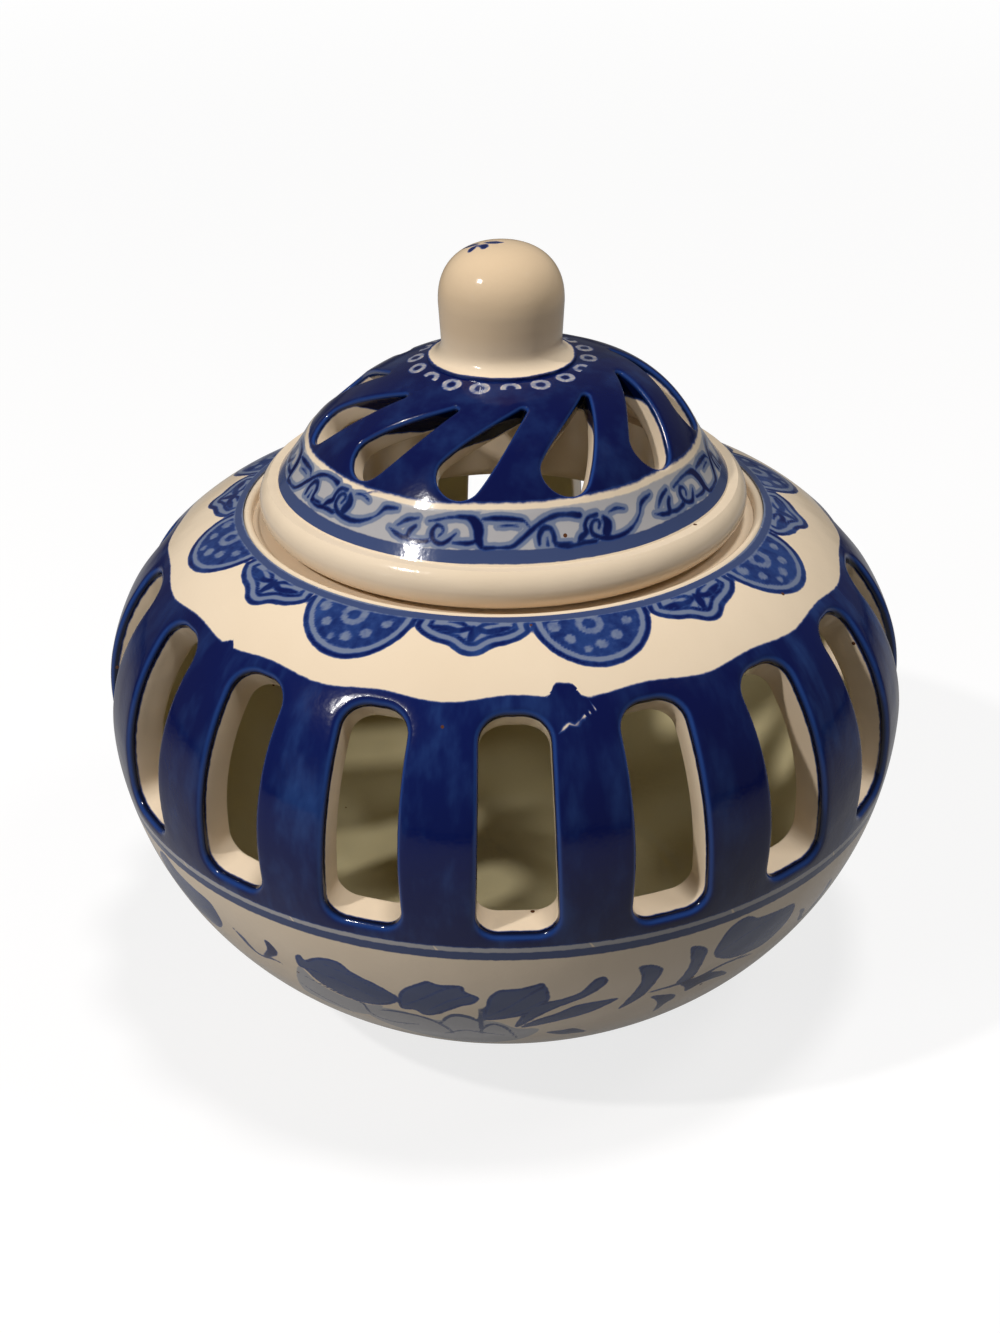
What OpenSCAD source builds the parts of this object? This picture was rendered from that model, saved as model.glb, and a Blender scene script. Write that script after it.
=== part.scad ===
// Potpourri vase: a squat pierced jar with a loose pierced lid and a luted knob.
// Millimetres, +Z up, origin at the middle of the foot's resting face, front towards -Y.

/* [Jar] */
// Widest diameter of the jar
jar_d = 151; // [130:1:180]
// Height of the jar from the table to its mouth
jar_h = 99; // [92:0.5:115]
// Height of the widest line above the table
belly_z = 63; // [50:0.5:70]
// Thickness of the jar's wall
jar_wall = 7; // [5:0.5:9]
// Thickness of the jar's floor
floor_t = 6.5; // [4:0.5:10]
// Diameter of the flat base under the bowl
base_d = 74; // [60:1:90]
// Plain belt between the bowl's seam and the lower ends of the slots
belt_h = 4; // [2:0.5:10]

/* [Foot] */
// Outer diameter of the foot ring where it stands
foot_d = 71; // [56:1:86]
// Width of the foot ring
foot_w = 5; // [3:0.5:8]
// Height of the foot ring
foot_h = 4; // [2:0.5:8]
// Bevel on the foot ring's standing edges
foot_bevel = 0.8; // [0.3:0.1:1.2]

/* [Wall slots] */
// Number of slots round the wall
slot_count = 18; // [8:1:20]
// Width of a slot at its lower end
slot_low_w = 13.4; // [8:0.2:16]
// Width of a slot at its upper end
slot_high_w = 11.6; // [7:0.2:14]
// Depth of a slot below the jar's widest line
slot_drop = 9; // [4:0.5:16]
// Plain shoulder left between the slots and the mouth, measured upright
shoulder_h = 9.1; // [6:0.1:16]
// Corner radius at a slot's upper end
slot_high_r = 4.8; // [2:0.1:5.5]
// Corner radius at a slot's lower end
slot_low_r = 3.6; // [2:0.1:5.5]
// Turn of the front slot away from the front
slot_turn = 1.3; // [-10:0.1:10]

/* [Mouth] */
// Diameter of the mouth where the lip meets the shoulder
lip_d = 96; // [84:0.5:110]
// Width of the upright lip round the lid's seat
lip_w = 1.7; // [1:0.1:3]
// Diameter of the hole through the mouth
mouth_d = 76; // [60:0.5:82]
// Depth of the lid's seat below the lip
seat_depth = 2; // [1:0.1:4]
// Thickness of the ledge that carries the lid
ledge_t = 6; // [4:0.5:8]

/* [Lid] */
// Gap between the lid's rim and the lip round it
rim_gap = 1.5; // [0.8:0.1:3]
// Height of the lid's rim above its seat at rest
lid_clear = 0.3; // [0.1:0.05:0.5]
// Radius of the rolled edge of the lid
roll_r = 4.2; // [3:0.1:5]
// Height from the middle of the roll to the flat top of the rim
rim_flat = 3.4; // [2:0.1:3.8]
// Distance from the lid's edge in to the foot of the dome
rim_step = 3.4; // [2:0.1:5]
// Thickness of the dome's wall
lid_wall = 4.5; // [3:0.25:6]
// Height of the sloping band round the foot of the dome
band_h = 7.1; // [4:0.1:10]
// How far the band leans in towards the dome
band_in = 5.1; // [3:0.1:7]
// Height of the dome above the band
dome_h = 14.9; // [10:0.1:20]
// Depth of the locating flange below the rim
flange_h = 7.8; // [5:0.2:12]
// Thickness of the locating flange
flange_w = 3.7; // [2.5:0.1:5]
// Gap between the flange and the mouth
flange_gap = 0.8; // [0.4:0.1:1.5]

/* [Lid slots] */
// Number of leaf slots round the dome
leaf_count = 11; // [6:1:13]
// Width of a leaf slot's round end
leaf_w = 8; // [4:0.2:9]
// Width of a leaf slot half way up
leaf_mid_w = 5.8; // [3:0.1:10]
// Width of a leaf slot's narrow end
leaf_tip_w = 1.6; // [0.8:0.1:3]
// Length of a leaf slot between the middles of its two ends
leaf_len = 16.4; // [10:0.2:18]
// Lean of the leaf slots away from upright
leaf_lean = 37; // [0:1:45]
// Plain edge between the band and the leaf slots
leaf_low = 2.4; // [1.5:0.1:5]
// Turn of the front leaf slot away from the front
leaf_turn = -4.5; // [-15:0.5:15]

/* [Knob] */
// Widest diameter of the knob
knob_d = 22.4; // [16:0.2:30]
// Height of the knob above the dome
knob_h = 20.5; // [18:0.5:34]
// Diameter of the knob's neck
neck_d = 21.6; // [14:0.2:24]
// Spread of the knob's base beyond its neck
base_spread = 2.6; // [1.5:0.1:4]
// Thickness of the knob's base at its edge
base_edge = 0.5; // [0.3:0.1:1.5]

/* [Hidden] */
$fn = 96;

// Glaze and clay colours
cobalt = "#1f2f7a";
cream = "#eadcc4";
bare_clay = "#c9b79c";

// Jar: the bowl and the shoulder are arcs that share the upright tangent at the widest line.
function arc_radius(run, rise) = (run * run + rise * rise) / (2 * run);
jar_r = jar_d / 2;
lip_r = lip_d / 2;
base_r = base_d / 2;
bowl_arc = arc_radius(jar_r - base_r, belly_z - foot_h);
bowl_x = jar_r - bowl_arc;
shoulder_arc = arc_radius(jar_r - lip_r, jar_h - belly_z);
shoulder_x = jar_r - shoulder_arc;
floor_z = foot_h + floor_t;

// Wall slots
slot_low_z = belly_z - slot_drop;
slot_high_z = jar_h - shoulder_h;
seam_z = slot_low_z - belt_h;
slot_high_angle = asin((slot_high_z - belly_z) / shoulder_arc);
slot_low_angle = asin(slot_drop / bowl_arc);
// How far cutters run past the faces that they cut
cut_past = 5;
slot_reach = jar_r + cut_past;

// Mouth, ledge and seat
seat_r = lip_r - lip_w;
mouth_r = mouth_d / 2;
seat_z = jar_h - seat_depth;
ledge_z = seat_z - ledge_t;

// Lid, stacked from its seat upwards
rim_r = seat_r - rim_gap;
roll_x = rim_r - roll_r;
rim_z = seat_z + lid_clear;
roll_z = rim_z + roll_r;
skirt_z = roll_z + rim_flat;
skirt_r = rim_r - rim_step;
flange_r = mouth_r - flange_gap;
flange_in_r = flange_r - flange_w;
band_z = skirt_z + band_h;
band_r = skirt_r - band_in;
// Thickness of the sloping band measured level
band_t = lid_wall * norm([band_h, band_in]) / band_h;
crown_z = band_z + dome_h;
crown_r = neck_d / 2 + base_spread;

// Dome: a ball with its middle on the axis, from the top of the band to the edge of the flat crown
dome_z = (crown_z + band_z - (band_r * band_r - crown_r * crown_r) / dome_h) / 2;
dome_arc = norm([band_r, band_z - dome_z]);
dome_low_angle = atan2(band_z - dome_z, band_r);

// Leaf slots: the angle on the dome that faces the middle of each leaf
function arc_angle(length, radius) = length / radius * 180 / PI;
leaf_rise = leaf_low + leaf_w / 2 + leaf_len / 2 * cos(leaf_lean);
leaf_angle = dome_low_angle + arc_angle(leaf_rise, dome_arc);
// Share of the round end's width at which a leaf's straight edges start
leaf_waist = 0.97;

// Knob
knob_r = knob_d / 2;
neck_r = neck_d / 2;
neck_z = crown_z + base_edge + base_spread;
knob_top_z = crown_z + knob_h;

// A level slab of the half section, from the axis out past the jar
module slab(low, high) {
    translate([0, low]) square([slot_reach, high - low]);
}

// Half section of the jar, drawn in from its outer face by inset
module jar_section(inset) {
    intersection() {
        translate([bowl_x, belly_z]) circle(bowl_arc - inset);
        slab(0, belly_z);
    }
    intersection() {
        translate([shoulder_x, belly_z]) circle(shoulder_arc - inset);
        slab(belly_z, jar_h);
    }
    square([max(bowl_x, 0), belly_z]);
    translate([0, belly_z]) square([shoulder_x, shoulder_arc - inset]);
}

// Front view of one wall slot, with its own corner radii at each end
module slot_outline() {
    low_x = slot_low_w / 2;
    high_x = slot_high_w / 2;
    polygon([[-low_x, slot_low_z + slot_low_r], [low_x, slot_low_z + slot_low_r],
             [high_x, slot_high_z - slot_high_r], [-high_x, slot_high_z - slot_high_r]]);
    translate([slot_low_r - low_x, slot_low_z])
        square([slot_low_w - 2 * slot_low_r, 2 * slot_low_r]);
    translate([slot_high_r - high_x, slot_high_z - 2 * slot_high_r])
        square([slot_high_w - 2 * slot_high_r, 2 * slot_high_r]);
    for (side = [-1, 1]) {
        translate([side * (low_x - slot_low_r), slot_low_z + slot_low_r]) circle(slot_low_r);
        translate([side * (high_x - slot_high_r), slot_high_z - slot_high_r]) circle(slot_high_r);
    }
}

// Side view of a slot: its ends are cut square to the wall
module slot_fan() {
    reach = slot_reach - shoulder_x;
    low_z = belly_z - (shoulder_x - bowl_x) * tan(slot_low_angle);
    polygon([[shoulder_x, low_z],
             [slot_reach, low_z - reach * tan(slot_low_angle)],
             [slot_reach, belly_z + reach * tan(slot_high_angle)],
             [shoulder_x, belly_z]]);
}

module slot_cutter() {
    intersection() {
        rotate([90, 0, 0]) linear_extrude(slot_reach) slot_outline();
        rotate([90, 0, -90]) linear_extrude(2 * slot_low_w, center = true) slot_fan();
    }
}

// One leaf slot, lying flat with its round end low and its narrow end high
module leaf_outline() {
    wide = leaf_w / 2;
    mid = leaf_mid_w / 2;
    tip = leaf_tip_w / 2;
    rotate(-leaf_lean) translate([0, -leaf_len / 2]) {
        circle(wide);
        polygon([[-wide * leaf_waist, 0], [wide * leaf_waist, 0], [mid, leaf_len / 2],
                 [tip, leaf_len], [-tip, leaf_len], [-mid, leaf_len / 2]]);
    }
}

module leaf_cutter() {
    translate([0, 0, dome_z]) rotate([90 - leaf_angle, 0, 0])
        translate([0, 0, dome_arc - lid_wall - cut_past])
            linear_extrude(lid_wall + 2 * cut_past) leaf_outline();
}

// Half section of the dome's hollow or of its outside, drawn in by inset, with the band level by level
module dome_section(inset, level_inset) {
    intersection() {
        translate([0, dome_z]) circle(dome_arc - inset);
        slab(band_z, crown_z);
    }
    polygon([[0, skirt_z], [skirt_r - level_inset, skirt_z], [band_r - level_inset, band_z], [0, band_z]]);
}

// Turned ring that lifts the bowl off the table
module foot_ring() {
    foot_r = foot_d / 2;
    in_r = foot_r - foot_w;
    color(bare_clay) rotate_extrude()
        polygon([[in_r + foot_bevel, 0], [foot_r - foot_bevel, 0], [foot_r, foot_bevel],
                 [foot_r, foot_h], [in_r, foot_h], [in_r, foot_bevel]]);
}

// Lower half of the jar, with its flat floor
module jar_bowl() {
    color(cream) rotate_extrude() difference() {
        intersection() {
            jar_section(0);
            slab(foot_h, seam_z);
        }
        intersection() {
            jar_section(jar_wall);
            slab(floor_z, jar_h);
        }
    }
}

// Half of the shoulder's turn, from the middle of one rib to the middle of another
module pierced_half(first, count) {
    pitch = 360 / slot_count;
    difference() {
        rotate([0, 0, (first - 0.5) * pitch - 90]) rotate_extrude(angle = count * pitch) difference() {
            intersection() {
                jar_section(0);
                slab(seam_z, jar_h);
            }
            jar_section(jar_wall);
            square([lip_r, jar_h]);
        }
        for (i = [first:first + count - 1]) rotate([0, 0, i * pitch]) slot_cutter();
    }
}

// Upper half of the jar, pierced by a ring of upright slots
module pierced_shoulder() {
    half = floor(slot_count / 2);
    color(cobalt) rotate([0, 0, slot_turn]) {
        pierced_half(0, half);
        pierced_half(half, slot_count - half);
    }
}

// Ledge inside the mouth that carries the lid, with its upright lip
module mouth_gallery() {
    lip_round = lip_w / 2;
    color(cream) rotate_extrude() {
        translate([mouth_r, ledge_z]) square([lip_r - mouth_r, ledge_t]);
        translate([seat_r, ledge_z]) square([lip_w, ledge_t + seat_depth - lip_round]);
        translate([seat_r + lip_round, jar_h - lip_round]) circle(lip_round);
    }
}

// Ring under the lid that keeps it in the mouth
module lid_flange() {
    color(cream) rotate_extrude()
        translate([flange_in_r, rim_z - flange_h]) square([flange_w, flange_h]);
}

// Rolled edge of the lid, flat below where it sits and flat above under the dome
module lid_rim() {
    color(cream) rotate_extrude() {
        intersection() {
            translate([roll_x, roll_z]) circle(roll_r);
            slab(rim_z, skirt_z);
        }
        translate([flange_in_r, rim_z]) square([roll_x - flange_in_r, skirt_z - rim_z]);
    }
}

// Pierced dome with the sloping band round its foot and a flat crown for the knob
module lid_dome() {
    color(cobalt) difference() {
        rotate_extrude() difference() {
            dome_section(0, 0);
            dome_section(lid_wall, band_t);
        }
        for (i = [0:leaf_count - 1])
            rotate([0, 0, leaf_turn + i * 360 / leaf_count]) leaf_cutter();
    }
}

// Thimble-shaped knob with a coved base
module lid_knob() {
    color(cream) rotate_extrude() {
        difference() {
            translate([0, crown_z]) square([crown_r, neck_z - crown_z]);
            translate([crown_r, neck_z]) circle(base_spread);
        }
        polygon([[0, neck_z], [neck_r, neck_z], [knob_r, knob_top_z - knob_r], [0, knob_top_z - knob_r]]);
        intersection() {
            translate([0, knob_top_z - knob_r]) circle(knob_r);
            slab(knob_top_z - knob_r, knob_top_z);
        }
    }
}

foot_ring();
jar_bowl();
pierced_shoulder();
mouth_gallery();
lid_flange();
lid_rim();
lid_dome();
lid_knob();
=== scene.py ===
import math

import bpy
import numpy as np
from mathutils import Matrix, Vector


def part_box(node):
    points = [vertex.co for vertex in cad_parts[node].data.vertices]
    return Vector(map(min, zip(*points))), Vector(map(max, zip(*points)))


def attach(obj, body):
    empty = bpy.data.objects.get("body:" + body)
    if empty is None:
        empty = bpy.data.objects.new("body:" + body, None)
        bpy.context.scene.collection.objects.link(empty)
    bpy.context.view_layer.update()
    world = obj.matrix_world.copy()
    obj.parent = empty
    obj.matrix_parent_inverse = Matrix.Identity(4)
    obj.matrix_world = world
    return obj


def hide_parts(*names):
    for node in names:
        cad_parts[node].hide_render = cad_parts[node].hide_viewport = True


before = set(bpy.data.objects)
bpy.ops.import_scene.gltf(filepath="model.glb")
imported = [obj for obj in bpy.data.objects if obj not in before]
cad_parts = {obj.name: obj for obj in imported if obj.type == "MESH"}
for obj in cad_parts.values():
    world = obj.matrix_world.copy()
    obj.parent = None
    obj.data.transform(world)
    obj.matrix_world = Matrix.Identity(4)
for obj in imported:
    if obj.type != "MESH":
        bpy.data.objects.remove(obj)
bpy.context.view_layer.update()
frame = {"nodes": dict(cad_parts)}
mm = 0.001
hair = 0.01  # millimetres, tells a flat underside from the wall above it
tiny = 1e-9  # keeps a division from failing
print("frame loaded:", ", ".join(frame["nodes"]))


def linear(hexColour):
    channels = [int(hexColour[i:i + 2], 16) / 255 for i in (1, 3, 5)]
    return [c / 12.92 if c <= 0.04045 else ((c + 0.055) / 1.055) ** 2.4 for c in channels] + [1.0]


# Adds one node and gives back its outputs: settings are its properties, inputs are sockets to link or
# values to set.
def addNode(tree, kind, settings=None, inputs=None):
    node = tree.nodes.new(kind)
    for key, value in (settings or {}).items():
        setattr(node, key, value)
    for key, value in (inputs or {}).items():
        if isinstance(value, bpy.types.NodeSocket):
            tree.links.new(value, node.inputs[key])
        else:
            node.inputs[key].default_value = value
    return node.outputs


smoothRamp = {"interpolation_type": "SMOOTHSTEP"}
colourMix = {"data_type": "RGBA"}


# A new material and its empty node tree.
def newFinish(name):
    material = bpy.data.materials.new(name)
    material.use_nodes = True
    material.node_tree.nodes.clear()
    return material, material.node_tree


def newObject(name, data):
    made = bpy.data.objects.new(name, data)
    bpy.context.scene.collection.objects.link(made)
    return made


# Stores one number for each point of a mesh, for the finishes to read.
def storeValue(mesh, name, values):
    layer = mesh.attributes.new(name, "FLOAT", "POINT")
    layer.data.foreach_set("value", values.astype(np.float32))


# Lowest height, highest height and reach from the axis of a CAD node, in millimetres.
def nodeSizes(name):
    low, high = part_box(name)
    return low.z / mm, high.z / mm, max(high.x, -low.x) / mm


seamZ, _, jarR = nodeSizes("pierced_shoulder")
ledgeZ, lipZ, lipR = nodeSizes("mouth_gallery")
baseZ = nodeSizes("jar_bowl")[0]
footR = nodeSizes("foot_ring")[2]
rimZ, skirtZ, rimR = nodeSizes("lid_rim")
_, crownZ, skirtR = nodeSizes("lid_dome")
flangeZ, _, flangeR = nodeSizes("lid_flange")
_, knobZ, crownR = nodeSizes("lid_knob")

# The jar's outside is two arcs with one upright tangent at the widest line.
jar = {"bellyZ": 63.0, "baseR": 37.0, "wall": 7.0, "floor": 6.5, "turn": math.radians(1.3)}
bowlArc = ((jarR - jar["baseR"]) ** 2 + (jar["bellyZ"] - baseZ) ** 2) / (2 * (jarR - jar["baseR"]))
shoulderArc = ((jarR - lipR) ** 2 + (lipZ - jar["bellyZ"]) ** 2) / (2 * (jarR - lipR))


# Radius and height of the jar's outside, way up from the widest line and depth into the wall.
def jarSurface(way, depth):
    arc = np.where(way >= 0, shoulderArc, bowlArc)
    angle = way / arc
    return jarR - arc + (arc - depth) * np.cos(angle), jar["bellyZ"] + (arc - depth) * np.sin(angle)


# Way up from the widest line to a height, along the outside.
def jarWay(height):
    arc = np.where(height >= jar["bellyZ"], shoulderArc, bowlArc)
    return arc * np.arcsin(np.clip((height - jar["bellyZ"]) / arc, -1, 1))


# The dome is a ball on the axis between the sloping band and the flat crown.
lid = {
    "bandR": 36.3, "bandZ": 112.0, "bandHollow": 0.22, "wall": 4.5, "slump": 2.2, "slumpAt": 80.0,
    "turn": math.radians(-4.5), "bandStep": 0.35, "crownStep": 0.4, "underStep": 1.2,
}
bandHigh, bandOut = lid["bandZ"] - skirtZ, skirtR - lid["bandR"]
bandLong = math.hypot(bandHigh, bandOut)
domeZ = (crownZ + lid["bandZ"] - (lid["bandR"] ** 2 - crownR ** 2) / (crownZ - lid["bandZ"])) / 2
domeArc = math.hypot(lid["bandR"], lid["bandZ"] - domeZ)
domeLow = domeArc * math.acos(lid["bandR"] / domeArc)
domeHigh = domeArc * math.acos(crownR / domeArc)


def domeSurface(way, depth):
    angle = way / domeArc
    return (domeArc - depth) * np.cos(angle), domeZ + (domeArc - depth) * np.sin(angle)


def turned(radius, azimuth, height):
    return np.stack([radius * np.sin(azimuth), -radius * np.cos(azimuth), height + 0 * azimuth], axis=-1)


# Points along an arc of a section, from one angle to another in degrees.
def arcPoints(centre, radius, start, end, count):
    angle = np.radians(np.linspace(start, end, count))
    return np.stack([centre[0] + radius * np.cos(angle), centre[1] + radius * np.sin(angle)], axis=1)


def wayPoints(surface, start, end, depth, spacing):
    way = np.linspace(start, end, max(2, round(abs(end - start) / spacing) + 1))
    return np.stack([*surface(way, depth), np.full(len(way), depth)], axis=1)


# A section's points with more of them along its long straight stretches.
def fineSection(points, spacing):
    points = np.array(points, float)
    out = [points[:1]]
    for a, b in zip(points[:-1], points[1:]):
        count = max(1, round(np.linalg.norm(b - a) / spacing))
        out.append(a + (b - a) * (np.arange(1, count + 1) / count)[:, None])
    return np.concatenate(out)


# Four-sided faces of a grid of points that is some points wide; the last column may close on the first.
def gridFaces(rows, columns, wide):
    row, col = np.meshgrid(np.arange(rows), np.arange(columns), indexing="ij")
    a, b = (row * wide + col).ravel(), (row * wide + (col + 1) % wide).ravel()
    return np.stack([a, b, b + wide, a + wide], axis=1)


# One slice of a turned section, whose third column is the depth of cut: rows follow it, columns go round.
def slicePart(section, columns, pitch, turn=0.0):
    azimuth = turn + pitch * (np.arange(columns + 1) / columns - 0.5)
    points = turned(section[:, :1], azimuth[None, :], section[:, 1:2])
    faces = gridFaces(len(section) - 1, columns, columns + 1)
    depth = section[:, 2] if section.shape[1] > 2 else np.zeros(len(section))
    return points.reshape(-1, 3), faces, np.repeat(depth, columns + 1)


# A closed outline cut at four corners, with an even count of points on each side between them.
def evenLoop(outline, corners, counts):
    closed = np.concatenate([outline, outline[:1]])
    travel = np.concatenate([[0], np.cumsum(np.linalg.norm(np.diff(closed, axis=0), axis=1))])
    stops = [travel[c] for c in corners] + [travel[corners[0]] + travel[-1]]
    marks = [np.linspace(a, b, n, endpoint=False) for a, b, n in zip(stops[:-1], stops[1:], counts)]
    marks = np.concatenate(marks) % travel[-1]
    return np.stack([np.interp(marks, travel, closed[:, i]) for i in (0, 1)], axis=1)


# One slice of a pierced wall: rings run from the slice's edge to the slot, through it and back inside.
def piercedPart(surface, slot, outline, corners, shear):
    columns, sides, half = slot["columns"], slot["sides"], slot["pitch"] / 2
    loop = evenLoop(outline, corners, (columns, sides, columns, sides))
    along = np.roll(loop, -1, axis=0) - np.roll(loop, 1, axis=0)
    outward = np.stack([along[:, 1], -along[:, 0]], axis=1) / np.linalg.norm(along, axis=1)[:, None]
    across = np.linspace(-half, half, columns, endpoint=False)
    up = np.linspace(slot["low"], slot["high"], sides, endpoint=False)
    edge = np.concatenate([
        np.stack([across, np.full(columns, slot["low"])], axis=1),
        np.stack([np.full(sides, half), up], axis=1),
        np.stack([-across, np.full(columns, slot["high"])], axis=1),
        np.stack([np.full(sides, -half), slot["low"] + slot["high"] - up], axis=1),
    ])
    wall, outer, inner = slot["wall"], slot["outerRound"], slot["innerRound"]
    bend = np.radians(np.linspace(90, 0, slot["roundRows"]))
    # a ring is its offset from the outline, its depth and its share of the way to the slice's edge
    rings = [(outer, 0, share) for share in np.linspace(1, 0, slot["outerRows"])]
    rings += [(outer * (1 - math.cos(b)), outer * (1 - math.sin(b)), 0) for b in bend[1:]]
    rings += [(0, depth, 0) for depth in np.linspace(outer, wall - inner, slot["wallRows"])[1:]]
    rings += [(inner * (1 - math.cos(b)), wall - inner * (1 - math.sin(b)), 0) for b in bend[::-1][1:]]
    rings += [(inner, wall, share) for share in np.linspace(0, 1, slot["innerRows"])[1:]]
    points, depths = [], []
    for offset, depth, share in rings:
        spot = loop + outward * offset
        azimuth = spot[:, 0] / surface(spot[:, 1], depth)[0] - shear(spot[:, 1])
        azimuth = azimuth + (edge[:, 0] - azimuth) * share
        way = spot[:, 1] + (edge[:, 1] - spot[:, 1]) * share
        radius, height = surface(way, depth)
        points.append(turned(radius, azimuth + shear(way), height))
        depths.append(np.full(len(loop), depth))
    return np.concatenate(points), gridFaces(len(rings) - 1, len(loop), len(loop)), np.concatenate(depths)


# Geometry Nodes: one slice repeated round the axis and welded into a closed piece.
def makeRingTree():
    tree = bpy.data.node_groups.new("ring of slices", "GeometryNodeTree")
    for name, kind in (("Slice", "Geometry"), ("Count", "Int"), ("Weld", "Float"), ("Finish", "Material")):
        tree.interface.new_socket(name, in_out="INPUT", socket_type="NodeSocket" + kind)
    tree.interface.new_socket("Piece", in_out="OUTPUT", socket_type="NodeSocketGeometry")
    source = addNode(tree, "NodeGroupInput")
    points = addNode(tree, "GeometryNodePoints", inputs={"Count": source["Count"]})[0]
    index = addNode(tree, "GeometryNodeInputIndex")[0]
    share = addNode(tree, "ShaderNodeMath", {"operation": "DIVIDE"}, {0: index, 1: source["Count"]})[0]
    angle = addNode(tree, "ShaderNodeMath", {"operation": "MULTIPLY"}, {0: share, 1: math.tau})[0]
    spin = addNode(tree, "FunctionNodeAxisAngleToRotation", inputs={"Axis": (0, 0, 1), "Angle": angle})[0]
    ring = addNode(tree, "GeometryNodeInstanceOnPoints", inputs={
        "Points": points, "Instance": source["Slice"], "Rotation": spin})[0]
    solid = addNode(tree, "GeometryNodeRealizeInstances", inputs={"Geometry": ring})[0]
    weld = addNode(tree, "GeometryNodeMergeByDistance", inputs={
        "Geometry": solid, "Distance": source["Weld"]})[0]
    coated = addNode(tree, "GeometryNodeSetMaterial", inputs={
        "Geometry": weld, "Material": source["Finish"]})[0]
    addNode(tree, "NodeGroupOutput", inputs={"Piece": coated})
    return tree


ringTree = makeRingTree()
weldGap = 0.02  # millimetres
creaseAngle = math.radians(38)


# Turns slice parts into one welded mesh object, in metres, by the ring tree.
def ringPiece(name, parts, count, turn, finish):
    starts = np.cumsum([0] + [len(p[0]) for p in parts[:-1]])
    points = np.concatenate([p[0] for p in parts])
    faces = np.concatenate([p[1] + start for p, start in zip(parts, starts)])
    mesh = bpy.data.meshes.new(name + " slice")
    mesh.from_pydata((points * mm).tolist(), [], faces.tolist())
    storeValue(mesh, "cutDepth", np.concatenate([p[2] for p in parts]))
    mesh.transform(Matrix.Rotation(turn, 4, "Z"))
    sliceObject = newObject(name + " slice", mesh)
    modifier = sliceObject.modifiers.new("ring", "NODES")
    modifier.node_group = ringTree
    values = {"Count": count, "Weld": weldGap * mm, "Finish": finish}
    for socket in ringTree.interface.items_tree:
        if socket.name in values:
            modifier[socket.identifier] = values[socket.name]
    evaluated = sliceObject.evaluated_get(bpy.context.evaluated_depsgraph_get())
    whole = bpy.data.meshes.new_from_object(evaluated)
    sliceObject.modifiers.remove(modifier)
    bpy.data.objects.remove(sliceObject)
    whole.name = name
    whole.shade_smooth()
    whole.set_sharp_from_angle(angle=creaseAngle)
    print(name, len(whole.polygons), "faces")
    return newObject(name, whole)


def place(piece, body, node):
    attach(piece, body)
    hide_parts(node)


# Azimuth in degrees from the front, reach from the axis, height and depth of cut of a piece's points.
def pointPlaces(piece):
    mesh = piece.data
    co = np.empty(len(mesh.vertices) * 3, np.float32)
    mesh.vertices.foreach_get("co", co)
    co = co.reshape(-1, 3).astype(float) / mm
    depth = np.zeros(len(mesh.vertices), np.float32)
    mesh.attributes["cutDepth"].data.foreach_get("value", depth)
    return np.degrees(np.arctan2(co[:, 0], -co[:, 1])), np.hypot(co[:, 0], co[:, 1]), co[:, 2], depth


paintReach = 4.0  # millimetres across an edge over which the stored paint goes from 0 to 1
brushLong = 2.2  # a brush mark is this many times as long as it is wide


# Stores how far inside each layer's painted shapes the points are, so that edges stay crisp between points.
def storePaint(piece, where, layers):
    for name, inside in layers.items():
        share = 0.5 + np.where(where, inside, -paintReach) / paintReach
        storeValue(piece.data, name, np.clip(share, 0, 1))


# Stores a place round the pot and, squeezed, along its section, so that noise on it streaks like a brush,
# and the load of cobalt on the brush, up to 1 where it covers all streaks.
def storeBrush(piece, azimuth, way, reach, load=0.0):
    layer = piece.data.attributes.new("brushWay", "FLOAT_VECTOR", "POINT")
    places = turned(reach, np.radians(azimuth), way / brushLong) * mm
    layer.data.foreach_set("vector", places.astype(np.float32).ravel())
    storeValue(piece.data, "brushLoad", load + np.zeros(len(azimuth)))


# Glazed earthenware: a warm cream tin glaze over buff clay, thick, glossy and faintly rippled, with cobalt
# brushed under it that streaks, darkens where the brush was full and turns pale where it thins, and a few
# iron specks. Painted shade: the knob's top is tinted darker and warmer, and the jar's inside darker and
# olive. On a cut edge the cobalt breaks pale, and deeper in the cut it is darkened as painted shade. Each
# "At" is where a change starts and where it is full, as a depth of cut in millimetres or a level of the
# noise or the stored paint.
glaze = {
    "cream": "#EDDBC3", "creamShade": "#E3CFB4", "creamKnobShade": "#D3B48C", "inside": "#CFC49C",
    # inside is painted shade: the jar's inside surface is tinted darker and olive.
    "insideAt": (jar["wall"] - 0.5, jar["wall"]),
    "cobalt": "#051551", "cobaltMid": "#274580", "cobaltThin": "#29437F", "cobaltFull": "#05093C",
    # cutShade is painted shade: cobalt deep in a cut is darkened to near black.
    "cutEdge": "#1E3C7C", "cutEdgeAt": (0.02, 0.3), "cutShade": "#030A28", "cutShadeAt": (0.35, 1.0),
    "slate": "#3C4A73", "pale": "#707B95", "wash": "#ACAAAD", "speck": "#5A3620",
    "midAt": (0.42, 0.8), "coverAt": (0.465, 0.545), "deepAt": (0.5, 0.6),
    "roughness": 0.13, "shine": 0.38, "streakShare": 0.15, "edgeRough": 0.35,
    "blotchMm": 24.0, "patchMm": 6.5, "streakMm": 1.3, "edgeMm": 1.4,
    "rippleMm": 7.0, "rippleDepthMm": 0.16, "peelMm": 0.9, "peelDepthMm": 0.02,
    "speckMm": 11.0, "speckSize": 0.034,
}


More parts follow.
